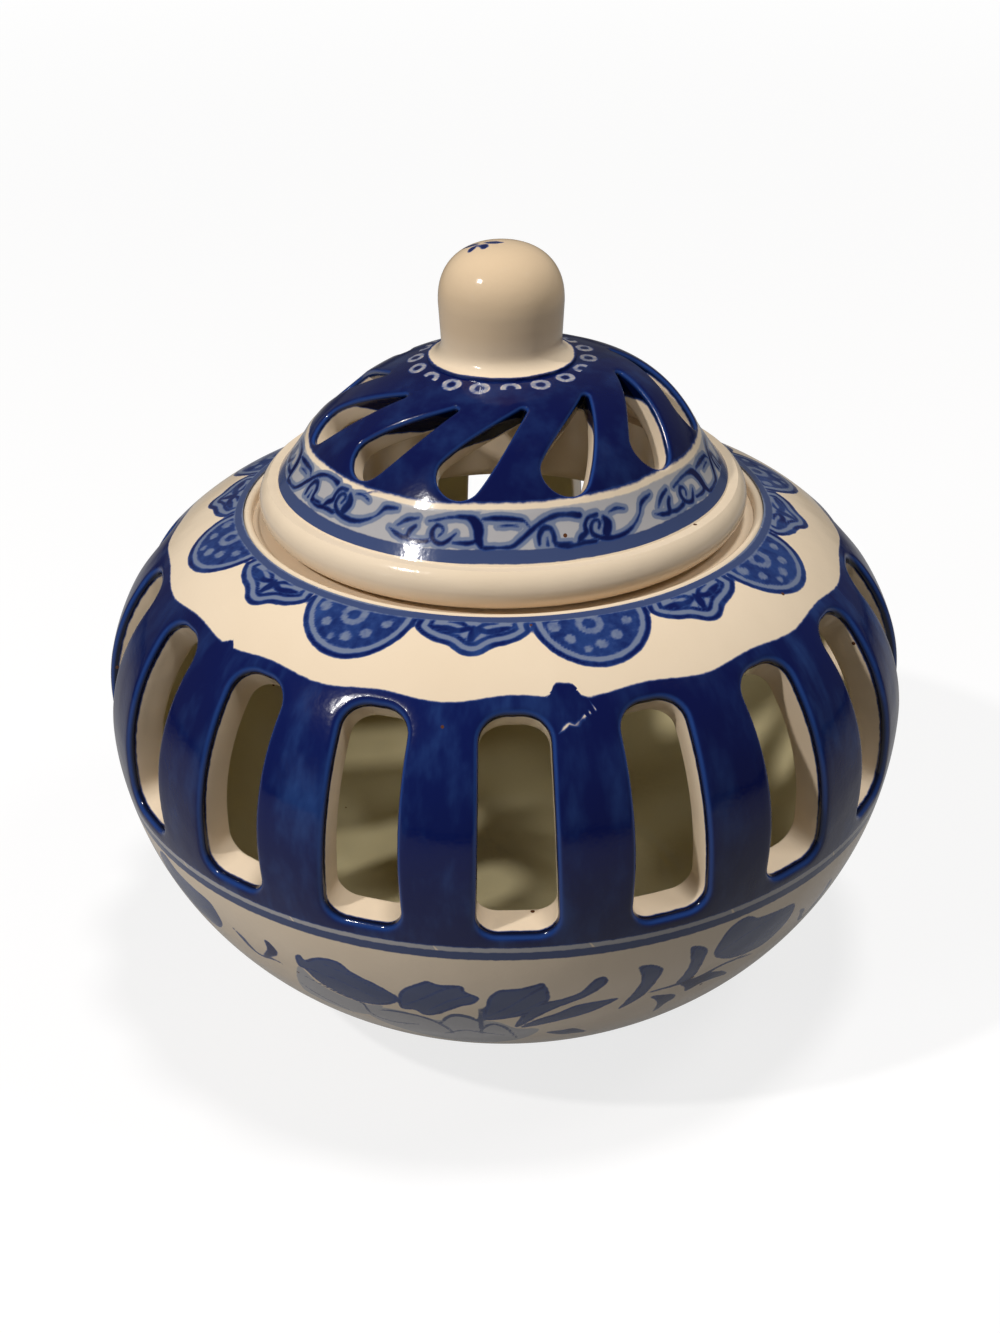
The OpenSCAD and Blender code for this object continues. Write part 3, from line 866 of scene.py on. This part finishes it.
# Scrolls on the lid's band as (degrees, millimetres down the band, brush width), and loops round the knob.
band = {
    "cobaltTo": 35.3, "creamTo": 35.9, "ringFrom": 39.7, "ringTo": 41.25, "units": 5, "halo": 0.6,
    "wobble": (0.12, 0.7), "drift": (-48.0, 17.0, 1.5, 2), "load": 0.62, "strokeFull": 1.08,
    "cutEdge": 1.2, "tipEdge": 2.6, "tipFrom": 27.0, "tipSpan": 5.0,
    "loops": 18, "loopAt": 5.5, "loopR": 15.5, "loopOut": 1.7, "loopIn": 0.95, "loopFlat": 1.15,
    "loopFull": 0.025, "openEvery": 3,
    "scroll": [
        [(-30, 4, 0.4), (-27.5, 4.6, 0.9), (-25, 4.8, 1), (-24, 3.4, 1), (-22.8, 2.5, 0.8)],
        [(-25, 4.8, 0.8), (-22, 5.1, 1), (-19, 4.7, 1)],
        [(-28, 3.2, 0.5), (-25.5, 1.9, 0.8), (-22.5, 1.2, 0.6)],
        [(-16.2, 3.6, 0.5), (-15.4, 2.9, 0.6), (-15.8, 2.1, 0.7), (-17.2, 2, 0.8), (-18.2, 3.1, 1),
         (-17.4, 4.5, 1), (-15, 4.9, 1), (-13, 3.8, 0.7), (-12, 3.1, 0.5)],
        [(-19.5, 1.4, 0.5), (-15, 0.7, 0.6), (-10.5, 0.5, 0.8), (-7.8, 1, 1.5), (-6.4, 2.3, 1.9),
         (-6.2, 4, 1.6), (-5.4, 5.4, 1)],
        [(-12.5, 4.7, 0.6), (-10, 4.8, 0.9), (-7.5, 4.6, 0.9), (-6.4, 3.6, 0.8)],
        [(-5.2, 0.8, 0.5), (-2, 0.7, 0.9), (2, 0.8, 0.9), (5.2, 1.1, 0.7), (6.4, 1.9, 0.5)],
        [(-1.5, 2, 0.3), (1.5, 1.8, 0.5), (4, 2, 0.3)],
        [(-4.6, 5.6, 1), (-1, 5.5, 0.7), (2, 5.3, 0.9), (4.6, 4, 1), (7, 2.7, 1), (10, 1.4, 0.9),
         (13.5, 0.7, 0.9), (17, 0.7, 0.9), (20.2, 1.1, 1.2)],
        [(8.8, 5.1, 0.8), (8.9, 3.6, 1), (10, 2.5, 1.1), (11.8, 2.5, 1), (12.6, 3.6, 1), (12.7, 5, 0.9),
         (14.6, 5.4, 0.9), (16.8, 5.3, 0.6)],
        [(10.8, 4, 0.4), (10.8, 5.3, 0.8)],
        [(12.7, 5.5, 0.8), (16, 6, 0.9), (20, 5.7, 1), (23, 5.8, 1)],
        [(18.6, 5.5, 0.7), (19.6, 4.6, 1.2), (21, 4, 1), (21.2, 2.7, 0.9), (22.4, 1.7, 0.9),
         (25, 1.4, 0.8)],
        [(24.6, 3.7, 0.6), (25.3, 2.7, 0.7), (24.2, 2.2, 0.7), (22.8, 2.9, 0.9), (22.6, 4.3, 1),
         (24.6, 5.3, 1.1), (28, 5.7, 1.1), (32, 5.3, 0.9), (35.5, 4, 0.6), (37.5, 2.9, 0.4)],
        [(28.5, 1.4, 0.4), (31, 1, 0.6), (33.5, 1.4, 0.4)],
        [(26.6, 1.9, 0.8), (27.4, 3.1, 1.7), (26.4, 4.6, 1.6)],
        [(37.5, 2.9, 0.4), (39.5, 1.3, 0.9), (43, 0.7, 0.5)],
    ],
}


def paintDome():
    azimuth, reach, height, depth = pointPlaces(dome)
    above = height > skirtZ + hair
    outer = (depth < leafSlot["outerRound"]) & above
    across = reach + handWobble(azimuth, *band["wobble"])
    slope = bandLong / bandOut
    pitch = 360 / band["units"]
    scale = math.radians(1) * (skirtR + lid["bandR"]) / 2
    down = (across - lid["bandR"]) * slope + swell(azimuth, *band["drift"])
    shapes = [[(p[0] * scale, p[1], p[2] * band["strokeFull"]) for p in points] for points in band["scroll"]]
    scroll = drawn(fromMark(azimuth, 0, pitch) * scale, down, shapes, pitch * scale)
    loopPitch = 360 / band["loops"]
    aside = fromMark(azimuth, band["loopAt"], loopPitch) * math.radians(1) * reach
    out = reach - band["loopR"]
    loop = np.hypot(aside, out * band["loopFlat"])
    loops = np.minimum(band["loopOut"] - loop, loop - band["loopIn"])
    number = np.round((azimuth - band["loopAt"]) / loopPitch)
    loops = np.where((number % band["openEvery"] == 0) & (out > band["loopIn"] / 2), -out, loops)
    cobalt = np.minimum(band["cobaltTo"] - across, -np.minimum(loops, band["loopFull"]))
    cutEdge = band["cutEdge"] + band["tipEdge"] * np.clip((band["tipFrom"] - reach) / band["tipSpan"], 0, 1)
    cobalt = np.minimum(cobalt, cutEdge - depth)
    ground = np.minimum(across - band["creamTo"], band["ringTo"] - across) * slope
    ring = np.minimum(across - band["ringFrom"], band["ringTo"] - across) * slope
    storePaint(dome, outer, {
        "wash": np.maximum(ground, band["loopOut"] - loop), "pale": scroll + band["halo"], "slate": ring})
    storePaint(dome, above, {"cobalt": np.maximum(cobalt, np.where(outer, scroll, cobalt))})
    storeBrush(dome, azimuth, domeArc * np.arctan2(height - domeZ, reach), reach, band["load"])


# Flower spray on a quarter of the bowl as (degrees, height): outlines, or strokes with a width third.
spray = {
    "repeats": 4, "lineWidth": 0.75, "scaleR": 68.0,
    "leaves": [
        [(-30.8, 40.7), (-29.8, 41.7), (-29.2, 40.6), (-27.7, 42), (-25.7, 43.1), (-23.4, 43.1),
         (-21.5, 40.9), (-18.3, 38.8), (-15.8, 35.9), (-16.5, 33.6), (-19.4, 31.5), (-22.3, 31.1),
         (-25.9, 32.5), (-28.7, 34.5), (-30, 37.2), (-31.1, 37.9)],
        [(-15.8, 35.6), (-14.6, 38.9), (-12.4, 41.1), (-10.8, 42.3), (-9.3, 41.5), (-6.3, 41.7),
         (-5.7, 40), (-4, 38.3), (-4.9, 36.2), (-7, 34.9), (-10.2, 31.7), (-12.4, 30.6), (-13.8, 32.1),
         (-15.8, 32)],
        [(-2.6, 38.7), (-1.1, 40.8), (1.2, 41.1), (3, 41.8), (4.6, 42.5), (5.3, 41), (5.8, 37.8),
         (5.2, 36), (3.2, 33.1), (0.4, 31.4), (-3.3, 30.5), (-3.7, 32.8), (-3.1, 36)],
        [(12.1, 42.4), (13.2, 42.3), (13.5, 40.2), (11.1, 37.2), (9.1, 35.8), (6.6, 34), (4.3, 31.4),
         (1.4, 27.4), (1.2, 29.3), (2.8, 34.2), (4.9, 36.4), (7.4, 37.2), (10, 38.8), (11.3, 41.4)],
        [(16, 34.8), (13, 35), (9.8, 34.6), (6.7, 32.1), (4, 30.2), (2, 27.4), (3.7, 27.6), (8.6, 29.6),
         (11.8, 31), (14.4, 33)],
        [(17.7, 43.5), (19.5, 43.3), (21.1, 42), (21.7, 40.2), (20.6, 35.6), (19.5, 33.1), (16.7, 30.4),
         (17.3, 33.1), (18.2, 36.1), (18.7, 38.7), (18.3, 41.3)],
        [(25.2, 45.1), (26.8, 44.7), (28.3, 42.8), (28.3, 40.6), (27.6, 35), (25, 34.7), (25.6, 37.5),
         (25.9, 40.6)],
        [(29.8, 40.5), (30.4, 45.3), (31.8, 47.5), (33.3, 48), (34.4, 47.8), (35.9, 46.4), (38.5, 45.6),
         (41.1, 45.1), (44, 44.2), (44.6, 40.1), (43.2, 37.3), (40.8, 35.5), (36.8, 35.9), (33.1, 37.2)],
    ],
    "dark": [
        [(21.3, 32.5), (22.8, 32.3), (25.8, 30.7), (26.5, 28.7), (25.5, 27.4), (24.4, 24.2), (23.6, 28.3),
         (22.6, 30.6)],
        [(25.8, 34.2), (28.2, 34.3), (30.3, 34.8), (33.8, 32.9), (35.8, 30.3), (33, 31.1), (30.1, 31.2),
         (28.1, 30.2), (27, 32.4)],
        [(-36, 41.8), (-35, 41.7), (-34.2, 39.4), (-35.8, 37.1), (-38.5, 35.4), (-36.4, 39)],
        [(6.1, 24), (8.6, 24.4), (10.7, 24.6), (13.4, 21.4), (11.3, 21.3), (8.6, 21.9)],
        [(21, 34.4, 0.7), (25.6, 34.4, 1), (29, 34.4, 1), (32.1, 35.5, 0.9), (35.5, 35.4, 0.8),
         (39.1, 34.1, 0.6)],
        [(-42.7, 40, 0.6), (-41.5, 38.4, 1.4), (-40.7, 36.2, 1.3), (-39.2, 35.1, 0.8), (-36, 36.1, 0.7),
         (-34.5, 35.6, 0.5)],
        [(-29.5, 38.1, 0.5), (-24.3, 37.1, 0.6), (-18.9, 33.9, 0.5)],
        [(-26.1, 41.2, 0.4), (-21.8, 39.6, 0.5), (-17.8, 36.4, 0.4)],
        [(-15, 33.5, 0.4), (-11.8, 36.9, 0.6), (-8.9, 40.1, 0.6), (-6.6, 41.3, 0.4)],
        [(-11.6, 32.8, 0.4), (-8.3, 36.7, 0.5), (-5.4, 38.8, 0.4)],
        [(-2.8, 32.1, 0.4), (0.1, 35.4, 0.6), (2.9, 39.2, 0.7), (4.7, 41.3, 1)],
        [(-1.8, 31.4, 0.4), (1.6, 33.6, 0.5), (5.2, 37.3, 0.4)],
        [(30.8, 40.7, 0.4), (34.7, 42.8, 0.6), (40, 44.1, 0.5)],
        [(33.8, 37.9, 0.4), (38.8, 39.1, 0.5), (42.7, 42.3, 0.4)],
    ],
    "lines": [
        [(-31, 34.6, 0.4), (-26, 32.1, 0.7), (-22.4, 30.6, 0.7), (-22.2, 27.5, 0.6), (-21.1, 25.4, 0.7),
         (-18.1, 24.8, 0.7), (-14.3, 25.8, 0.5)],
        [(-20, 29.2, 0.4), (-17.3, 30.2, 0.9), (-12.8, 29.6, 0.9), (-10, 26.5, 0.9), (-9, 23, 0.6)],
        [(-10.3, 27.9, 0.5), (-9, 30.8, 0.9), (-7.5, 31.9, 1.3), (-5.8, 31.4, 1.2), (-4.5, 30, 0.7)],
        [(-3.9, 34.6, 0.8), (-4.1, 29.6, 1), (-4.3, 24.2, 0.7)],
        [(-4.1, 26.3, 0.6), (-2.6, 28.8, 0.8), (-1, 28, 0.9), (0.1, 26, 0.8), (1.5, 21, 0.5)],
        [(-10.6, 22.4, 0.5), (-7.1, 25.3, 0.7), (-4.4, 24.7, 0.7), (-0.4, 23.2, 0.5)],
        [(-33.5, 30.8, 0.4), (-31.6, 28.1, 0.8), (-28.8, 26.2, 0.8), (-26.1, 24.2, 0.5)],
    ],
    "petals": [
        [(-21.4, 29.7), (-16.5, 31), (-12.8, 29.6), (-10.1, 29.3), (-7.2, 32), (-4.4, 30.4), (-1.4, 29.7),
         (1.2, 26.9), (4.9, 25.9), (1.8, 20.2), (-5.5, 16.4), (-12.7, 18.2), (-19.1, 21.3), (-22.7, 25.3)],
        [(-31.2, 37.6), (-29, 33.6), (-25.9, 31.5), (-21.8, 30.6), (-18.8, 31.4), (-22.5, 25.9),
         (-27.2, 24.2), (-31.7, 25.1), (-34.3, 27.8)],
    ],
}


def paintBowl():
    azimuth, _, height, depth = pointPlaces(bowl)
    outer = (depth < jar["wall"] / 2) & (height > baseZ + hair)
    way = jarWay(height)
    pitch = 360 / spray["repeats"]
    scale = math.radians(1) * spray["scaleR"]
    across = fromMark(azimuth, 0, pitch) * scale
    drawing = {}
    for name in ("leaves", "dark", "lines", "petals"):
        shapes = [[(p[0] * scale, jarWay(p[1]), *p[2:]) for p in points] for points in spray[name]]
        drawing[name] = drawn(across, way, shapes, pitch * scale)
    gap, line = wallLines(way)
    storePaint(bowl, outer, {
        "wash": np.maximum(drawing["petals"], gap),
        "slate": np.maximum(line, np.maximum(drawing["leaves"], drawing["lines"])),
        "cobalt": np.maximum(drawing["dark"], lineInside(drawing["leaves"], 0, spray["lineWidth"])),
    })
    storeBrush(bowl, azimuth, way, jarR)


# The sprig is on the knob's top, seen from above, and the cobalt of the dome laps up to a cream collar.
def paintKnob():
    azimuth, reach, height, _ = pointPlaces(lidKnob)
    turn = np.radians(azimuth)
    sprig = drawn(reach * np.sin(turn), -reach * np.cos(turn), knob["sprig"])
    collar = reach + handWobble(azimuth, *knob["wobble"]) - knob["creamTo"]
    storePaint(lidKnob, True, {"cobalt": np.where(height > knobZ - knob["domeHigh"], sprig, collar)})
    storeBrush(lidKnob, azimuth, height, knob["radius"])
    # Painted shade: the knob's top is tinted darker and warmer, standing in for the shade on it.
    bare = np.clip((height - crownZ - knob["shadeFrom"]) / (knob["shadeFull"] - knob["shadeFrom"]), 0, 1)
    storeValue(lidKnob.data, "knobShade", knob["bare"] * bare)


paintShoulder()
paintDome()
paintBowl()
paintKnob()
print("painted")

# Floor and studio light: a small key from the upper left, a broader lamp overhead, a weak one at the right,
# a low fill and a dim room. Each lift is its reach in metres and its level near the part and beyond.
studio = {
    "floor": "#8A8A8C", "floorHalf": 6.0, "floorDrop": 0.0002, "floorLift": (1.6, 0.77, 0.96),
    "shineLift": (0.9, 0.18, 0.0), "room": "#E6ECE0", "roomLevel": 0.06, "roomShine": 0.08, "aimZ": 0.07,
    "lamps": {
        "key": {"at": (-0.67, -0.47, 0.95), "size": 0.06, "watts": 6.4, "colour": "#FFFBF6", "shine": True},
        "top": {"at": (0.12, -0.14, 1.25), "size": 0.2, "watts": 6.9, "colour": "#FFFCF8", "shine": False},
        "side": {"at": (0.62, -0.1, 0.95), "size": 0.3, "watts": 1.9, "colour": "#FFFCF8", "shine": False},
        "fill": {"at": (-1.0, -0.7, 0.35), "size": 0.3, "watts": 2.8, "colour": "#FFFFFF", "shine": False},
    },
}


def makeFloor():
    half, low = studio["floorHalf"], -studio["floorDrop"]
    corners = [(x * half, y * half, low) for x, y in ((-1, -1), (1, -1), (1, 1), (-1, 1))]
    mesh = bpy.data.meshes.new("floor")
    mesh.from_pydata(corners, [], [(0, 1, 2, 3)])
    material, tree = newFinish("matt painted floor")
    paint = addNode(tree, "ShaderNodeBsdfDiffuse", inputs={"Color": linear(studio["floor"])})[0]
    ray = addNode(tree, "ShaderNodeLightPath")
    far = addNode(tree, "ShaderNodeVectorMath", {"operation": "LENGTH"}, {
        0: addNode(tree, "ShaderNodeTexCoord")["Object"]})["Value"]
    lifts = {}
    for name in ("floorLift", "shineLift"):
        reach, near, beyond = studio[name]
        lifts[name] = addNode(tree, "ShaderNodeMapRange", smoothRamp, {
            "Value": far, "From Max": reach, "To Min": near, "To Max": beyond})[0]
    mirror = addNode(tree, "ShaderNodeMath", {"operation": "MAXIMUM"}, {
        0: ray["Is Glossy Ray"], 1: ray["Is Transmission Ray"]})[0]
    shine = addNode(tree, "ShaderNodeMath", {"operation": "MULTIPLY"}, {0: mirror, 1: lifts["shineLift"]})[0]
    level = addNode(tree, "ShaderNodeMath", {"operation": "MULTIPLY_ADD"}, {
        0: ray["Is Camera Ray"], 1: lifts["floorLift"], 2: shine})[0]
    lift = addNode(tree, "ShaderNodeEmission", inputs={"Strength": level})[0]
    both = addNode(tree, "ShaderNodeAddShader", inputs={0: paint, 1: lift})[0]
    addNode(tree, "ShaderNodeOutputMaterial", inputs={"Surface": both})
    mesh.materials.append(material)
    floor = newObject("floor", mesh)


def makeRoom():
    world = bpy.data.worlds.new("dim room")
    bpy.context.scene.world = world
    world.use_nodes = True
    tree = world.node_tree
    tree.nodes.clear()
    dim = addNode(tree, "ShaderNodeBackground", inputs={
        "Color": linear(studio["room"]), "Strength": studio["roomLevel"]})[0]
    white = addNode(tree, "ShaderNodeBackground", inputs={"Color": (1, 1, 1, 1)})[0]
    ray = addNode(tree, "ShaderNodeLightPath")
    clear = addNode(tree, "ShaderNodeMath", {"operation": "MAXIMUM"}, {
        0: ray["Is Camera Ray"], 1: ray["Is Transmission Ray"]})[0]
    seen = addNode(tree, "ShaderNodeMath", {"operation": "MULTIPLY_ADD"}, {
        0: ray["Is Glossy Ray"], 1: studio["roomShine"], 2: clear})[0]
    mixed = addNode(tree, "ShaderNodeMixShader", inputs={0: seen, 1: dim, 2: white})[0]
    addNode(tree, "ShaderNodeOutputWorld", inputs={"Surface": mixed})


def makeLamps():
    for name, spec in studio["lamps"].items():
        lamp = bpy.data.lights.new(name, "AREA")
        lamp.shape = "DISK"
        lamp.size = spec["size"]
        lamp.energy = spec["watts"]
        lamp.color = linear(spec["colour"])[:3]
        lampObject = newObject(name, lamp)
        lampObject.location = spec["at"]
        lampObject.visible_glossy = spec["shine"]
        aim = Vector((0, 0, studio["aimZ"])) - Vector(spec["at"])
        lampObject.rotation_euler = aim.to_track_quat("-Z", "Y").to_euler()


makeFloor()
makeRoom()
makeLamps()
print("studio lit by", ", ".join(studio["lamps"]))

view = {"aim": (0.0, 0.0, 63.6), "away": 380.6, "elevation": 28.61, "roll": -0.0096, "focalPx": 1960.0,
        "framePx": (1000, 1333), "centrePx": 504.8, "sensorMm": 36.0, "clipStart": 0.01}


def makeCamera():
    tilt, roll = math.radians(view["elevation"]), view["roll"]
    ahead = Vector((0, math.cos(tilt), -math.sin(tilt)))
    right, up = Vector((1, 0, 0)), Vector((0, math.sin(tilt), math.cos(tilt)))
    rolledRight = right * math.cos(roll) + up * math.sin(roll)
    rolledUp = up * math.cos(roll) - right * math.sin(roll)
    camera = newObject("camera", bpy.data.cameras.new("camera"))
    stand = Matrix((rolledRight, rolledUp, -ahead)).transposed().to_4x4()
    stand.translation = (Vector(view["aim"]) - ahead * view["away"]) * mm
    camera.matrix_world = stand
    width, height = view["framePx"]
    camera.data.sensor_width = view["sensorMm"]
    camera.data.lens = view["sensorMm"] * view["focalPx"] / height
    camera.data.shift_x = (width / 2 - view["centrePx"]) / height
    camera.data.clip_start = view["clipStart"]
    bpy.context.scene.camera = camera


makeCamera()
bpy.context.scene.view_settings.view_transform = "Standard"
print("camera set")
